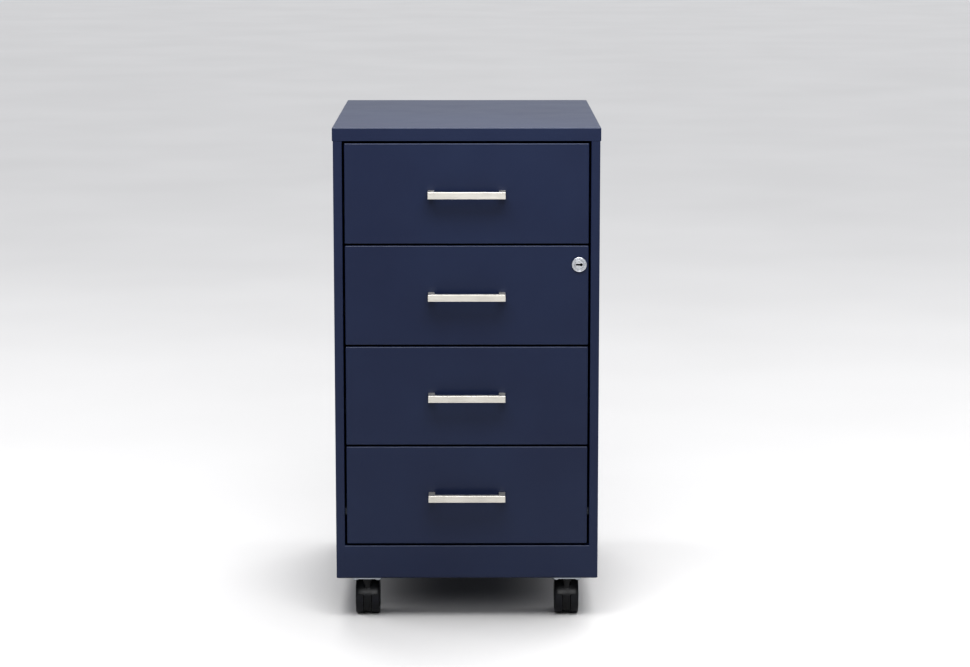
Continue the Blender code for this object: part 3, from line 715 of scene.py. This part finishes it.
caster = {
    "pinRadius": 0.0035,
    "pinChamfer": 0.0006,
    "pinGap": 0.00015,  # between the swivel pin and its hole in the hood
    "raceRadius": 0.0120,
    "raceTip": 0.0060,
    "raceDepth": 0.0052,
    "raceChamfer": 0.0004,
    "raceShoulder": (0.0012, 0.0009),
    "raceRim": 0.0001,
    "raceRoot": 0.0010,  # how far the race reaches into the plate, so that they are one solid
    "plateCorner": 0.004,
    "plateThickness": 0.0024,
    "plateEdge": 0.0003,
    "boltAt": 0.015,
    "boltRadius": 0.0042,
    "boltHeight": 0.0024,
    "boltRecess": 0.0010,
    "fenderGap": 0.0012,
    "fenderWall": 0.0018,
    "fenderHalf": 0.0158,
    "fenderCrown": 0.0011,
    "fenderBack": 2,  # degrees over the wheel where the fender starts, behind it
    "fenderSide": 164,  # where it ends in front, at the sides
    "fenderTip": 176,  # and at the point in the middle of that edge
    "tipHalf": 0.0068,
    "coreInset": 0.0005,
    "coreGap": 0.0004,  # between the core and the wheel beside it
    "coreEdge": 0.0004,
    "coreFloor": 0.006,
    "webInset": 4,  # degrees that the web stops short of the fender's ends
    "collarFoot": 0.004,
    "collar": ((0, 0.0052), (0.0009, 0.0040), (0.0009, 0.0008), (0.0003, 0)),  # (past core, below top)
    "axleHole": 0.0028,
}


def makeCasterPlate(low, high):  # the fixing plate with its swivel race and pin below
    bottom = high.z - caster["plateThickness"]
    half = (high.x - low.x) / 2
    outline = roundedOutline((-half, -half), (half, half), caster["plateCorner"])
    plate = roundEdges(extrude(outline, bottom, high.z, "Z"), caster["plateEdge"], 2)
    pin, pinChamfer = caster["pinRadius"], caster["pinChamfer"]
    tip, tipChamfer = caster["raceTip"], caster["raceChamfer"]
    ring, (shoulder, drop) = caster["raceRadius"], caster["raceShoulder"]
    raceLow, root = bottom - caster["raceDepth"], bottom + caster["raceRoot"]
    core = [
        (0, low.z), (pin - pinChamfer, low.z), (pin, low.z + pinChamfer), (pin, raceLow),
        (tip - tipChamfer, raceLow), (tip, raceLow + tipChamfer), (ring - shoulder, bottom - drop),
        (ring, bottom - caster["raceRim"]), (ring, root), (0, root),
    ]
    return unite(plate, lathe(core, "Z", 40))


def makeHood(top, axle):  # placed with the swivel axis at x = y = 0
    radius = axle.z
    inner = radius + caster["fenderGap"]
    outer = inner + caster["fenderWall"]
    half, columns, rows = caster["fenderHalf"], 30, 30  # the fender's grid, across and around
    back, side, tip = caster["fenderBack"], caster["fenderSide"], caster["fenderTip"]
    bm = bmesh.new()
    skins = []
    for skin in (outer, inner):
        grid = []
        for i in range(columns + 1):
            x = half * (2 * i / columns - 1)
            end = side + (tip - side) * max(0.0, 1 - abs(x) / caster["tipHalf"])
            droop = caster["fenderCrown"] * (abs(x) / half) ** 6 if skin == outer else 0
            line = arc((axle.y, axle.z), skin - droop, back, end, rows)
            grid.append([bm.verts.new((x, y, z)) for y, z in line])
        skins.append(grid)
    over, under = skins
    for i in range(columns):
        for j in range(rows):
            bm.faces.new((over[i][j], over[i + 1][j], over[i + 1][j + 1], over[i][j + 1]))
            bm.faces.new((under[i][j], under[i][j + 1], under[i + 1][j + 1], under[i + 1][j]))
    for i in range(columns):
        for j in (0, rows):
            bm.faces.new((over[i][j], over[i + 1][j], under[i + 1][j], under[i][j]))
    for j in range(rows):
        for i in (0, columns):
            bm.faces.new((over[i][j], over[i][j + 1], under[i][j + 1], under[i][j]))
    bmesh.ops.triangulate(bm, faces=bm.faces)  # flat faces, so that the collar joins them cleanly
    fender = closeMesh(bm)

    # the core stands between the two wheels and carries the axle, under the fender
    coreRadius = radius - caster["coreInset"]
    dip = math.degrees(math.asin((radius - caster["coreFloor"]) / coreRadius))
    middle = (inner + outer) / 2
    centre, inset = (axle.y, axle.z), caster["webInset"]
    web = (arc(centre, middle, inset, side - inset, 24) + arc(centre, coreRadius, side, 180 + dip, 12)
           + arc(centre, coreRadius, 360 - dip, 360 + back, 12))
    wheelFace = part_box("front_right_caster_wheel_right")[0].x - jointAt["front_right_swivel"].x
    width = wheelFace - caster["coreGap"]
    core = roundEdges(extrude(web, -width, width, "X"), caster["coreEdge"], 2)
    foot = radius + caster["collarFoot"]
    steps = [(width + past, top - below) for past, below in caster["collar"]]
    collar = lathe([(0, foot), (width, foot), *steps, (0, top)], "Z", 40)
    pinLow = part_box("front_left_caster_plate")[0].z - touch
    bore = rod(caster["pinRadius"] + caster["pinGap"], pinLow, top + clear, "Z", 32)
    axleHole = moved(rod(caster["axleHole"], -width * 2, width * 2, "X", 24), axle)
    return cutOut(unite(core, fender, collar), bore, axleHole)


wheel = {
    "holeDepth": 0.0027,  # wall left outside the axle's hole
    "innerRound": 0.0004,
    "treadRound": 0.0020,
    "rim": ((0.0205, 0), (0.0198, 0.0009), (0.0190, 0.0009), (0.0184, 0.0003)),  # (radius, depth) of a ring
    "hub": ((0.0080, 0.0003), (0.0075, 0.0008), (0.0050, 0.0008), (0.0046, 0.0003)),
    "hubCrown": 0.0002,
    "pockets": 6,
    "pocketRadii": (0.0100, 0.0165),
    "pocketHalf": (17, 22),  # half of its angle at those radii
    "pocketDepth": 0.0011,
}


def makeWheel(low, high):  # the right-hand wheel of a pair, with x = 0 between the pair
    radius = (high.z - low.z) / 2
    inner, outer = low.x, high.x
    hole, small, large = caster["axleHole"], wheel["innerRound"], wheel["treadRound"]
    tread = [
        (0, outer - wheel["holeDepth"]), (hole, outer - wheel["holeDepth"]), (hole, inner),
        (radius - small, inner), (radius, inner + small),
        *arc((radius - large, outer - large), large, 0, 90, 6),
        *[(ring, outer - depth) for ring, depth in wheel["rim"] + wheel["hub"]],
        (0, outer - wheel["hubCrown"]),
    ]
    (near, far), (nearHalf, farHalf) = wheel["pocketRadii"], wheel["pocketHalf"]
    pockets = []
    for i in range(wheel["pockets"]):
        middle = 360 / wheel["pockets"] * i
        outline = (arc((0, 0), far, middle - farHalf, middle + farHalf, 8)
                   + arc((0, 0), near, middle + nearHalf, middle - nearHalf, 6))
        pockets.append(extrude(outline, outer - wheel["pocketDepth"], outer + clear, "X"))
    return cutOut(lathe(tread, "X", 72), gather(*pockets))


firstAt = jointAt["front_left_swivel"]
plateLow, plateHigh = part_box("front_left_caster_plate")
plateShape = makeCasterPlate(plateLow, plateHigh)
axleAt = jointAt["front_left_wheel_left_spin"] - Vector((firstAt.x, firstAt.y, 0))
hoodShape = makeHood(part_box("front_left_caster_hood")[1].z, axleAt)
wheelLow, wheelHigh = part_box("front_right_caster_wheel_right")
shift = Vector((jointAt["front_right_swivel"].x, 0, 0))
rightWheel = makeWheel(wheelLow - shift, wheelHigh - shift)
wheelShapes = {"left": mirrored(rightWheel), "right": rightWheel}
bolt = makePanHead(caster["boltRadius"], caster["boltHeight"], caster["boltRecess"])
bolt.transform(Matrix.Rotation(math.pi / 2, 4, "X"))
boltAt, boltTop = caster["boltAt"], plateHigh.z - caster["plateThickness"]
for corner in casterCorners:
    swivel = jointAt[corner + "_swivel"]
    name = "".join(word.capitalize() for word in corner.split("_"))
    at = Vector((swivel.x, swivel.y, 0))
    addPiece(f"casterPlate{name}", moved(plateShape, at), zincPlate, "cabinet",
             f"{corner}_caster_plate")
    bolts = [moved(bolt, at + Vector((x * boltAt, y * boltAt, boltTop))) for x in (-1, 1) for y in (-1, 1)]
    addPiece(f"casterScrews{name}", gather(*bolts), zincPlate, "cabinet")
    addPiece(f"casterHood{name}", moved(hoodShape, at), nylonHood, f"{corner}_caster",
             f"{corner}_caster_hood", crease=40)
    dressNode(f"{corner}_caster_axle", zincPlate)
    axle = jointAt[corner + "_wheel_left_spin"]
    for side, shape in wheelShapes.items():
        addPiece(f"casterWheel{side.capitalize()}{name}", moved(shape, axle), nylonTread,
                 f"{corner}_wheel_{side}", f"{corner}_caster_wheel_{side}", crease=30)
print("casters made")

# floor, light and camera

studio = {
    "floorTones": [(0.3, "#bcbbba"), (0.7, "#c0bfbe")],
    "floorCloudMm": 700,
    "floorRoughness": 0.8,
    "floorRadius": 60.0,
    "floorThickness": 0.02,
    "worldColour": "#f0f3fa",
    "worldStrength": 0.42,
    "skylightFrom": (0.15, 0.65, 1.0),  # a wide soft light over and a little behind the cabinet
    "skylightStrength": 1.85,
    "skylightAngle": 50,
}
lamps = {
    # name: place, aim, width, height, watts
    "softboxAbove": ((0.0, -1.0, 1.6), (0, -0.2, 0.6), 1.2, 0.6, 18),
    "softboxFront": ((0.3, -4.0, 2.4), (0, -0.2, 0.4), 2.6, 1.6, 42),
    "softboxBehind": ((0.0, 2.2, 1.9), (0, 0, 0.68), 1.6, 0.5, 0.5),
    "softboxOverhead": ((0.0, -0.5, 1.75), (0, -0.3, 0.6), 1.4, 0.2, 2.5),
    "softboxLeft": ((-3.0, 0.6, 2.0), (0, 0, 0.4), 1.4, 1.4, 26),
    "softboxRight": ((3.0, 0.6, 2.0), (0, 0, 0.4), 1.4, 1.4, 26),
}
view = {
    "lens": 96.98,  # this and the sensor in millimetres
    "sensor": 36.0,
    "distance": 3.5,  # in front of the drawer fronts
    "side": 0.0071,
    "height": 1.00464,
    "pitch": 9.014,  # downwards
    "yaw": -0.2888,  # degrees, as is the pitch
    "shift": -0.035,
}


def makeStudio():
    floorMaterial, tree, where = startMaterial("plasterFloorTrowelled")
    shade = addNode(tree, "TexNoise", {"Scale": perMetre(studio["floorCloudMm"]), "Detail": 2.0},
                    {"Vector": where})
    tone = addNode(tree, "ValToRGB", {"stops": studio["floorTones"]}, {"Fac": shade})
    shader = addNode(tree, "BsdfPrincipled", {"Roughness": studio["floorRoughness"]}, {"Base Color": tone})
    addNode(tree, "OutputMaterial", links={"Surface": shader})
    slab = rod(studio["floorRadius"], -studio["floorThickness"], 0, "Z", 64)
    floor = bpy.data.objects.new("studioFloor", slab)
    floor.data.materials.append(floorMaterial)
    bpy.context.scene.collection.objects.link(floor)
    world = bpy.data.worlds.new("studioWorld")
    world.use_nodes = True
    background = world.node_tree.nodes["Background"]
    background.inputs["Color"].default_value = toLinear(studio["worldColour"])
    background.inputs["Strength"].default_value = studio["worldStrength"]
    bpy.context.scene.world = world
    settings = bpy.context.scene.view_settings
    settings.view_transform, settings.look = "Standard", "High Contrast"
    skylight = bpy.data.lights.new("skylight", "SUN")
    skylight.energy, skylight.angle = studio["skylightStrength"], math.radians(studio["skylightAngle"])
    lamp = bpy.data.objects.new("skylight", skylight)
    lamp.rotation_euler = Vector(studio["skylightFrom"]).to_track_quat("Z", "Y").to_euler()
    bpy.context.scene.collection.objects.link(lamp)
    for name, (place, aim, width, height, watts) in lamps.items():
        light = bpy.data.lights.new(name, "AREA")
        light.shape = "RECTANGLE"
        light.size, light.size_y, light.energy = width, height, watts
        lamp = bpy.data.objects.new(name, light)
        lamp.location = place
        lamp.rotation_euler = (Vector(aim) - Vector(place)).to_track_quat("-Z", "Y").to_euler()
        bpy.context.scene.collection.objects.link(lamp)


def makeCamera():
    camera = bpy.data.cameras.new("camera")
    camera.lens, camera.sensor_width = view["lens"], view["sensor"]
    camera.shift_y = view["shift"]
    holder = bpy.data.objects.new("camera", camera)
    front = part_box("drawer_front_1")[0].y
    holder.location = (view["side"], front - view["distance"], view["height"])
    holder.rotation_euler = (math.radians(90 - view["pitch"]), 0, math.radians(view["yaw"]))
    bpy.context.scene.collection.objects.link(holder)
    bpy.context.scene.camera = holder


makeStudio()
makeCamera()
print("studio, lights and camera made")
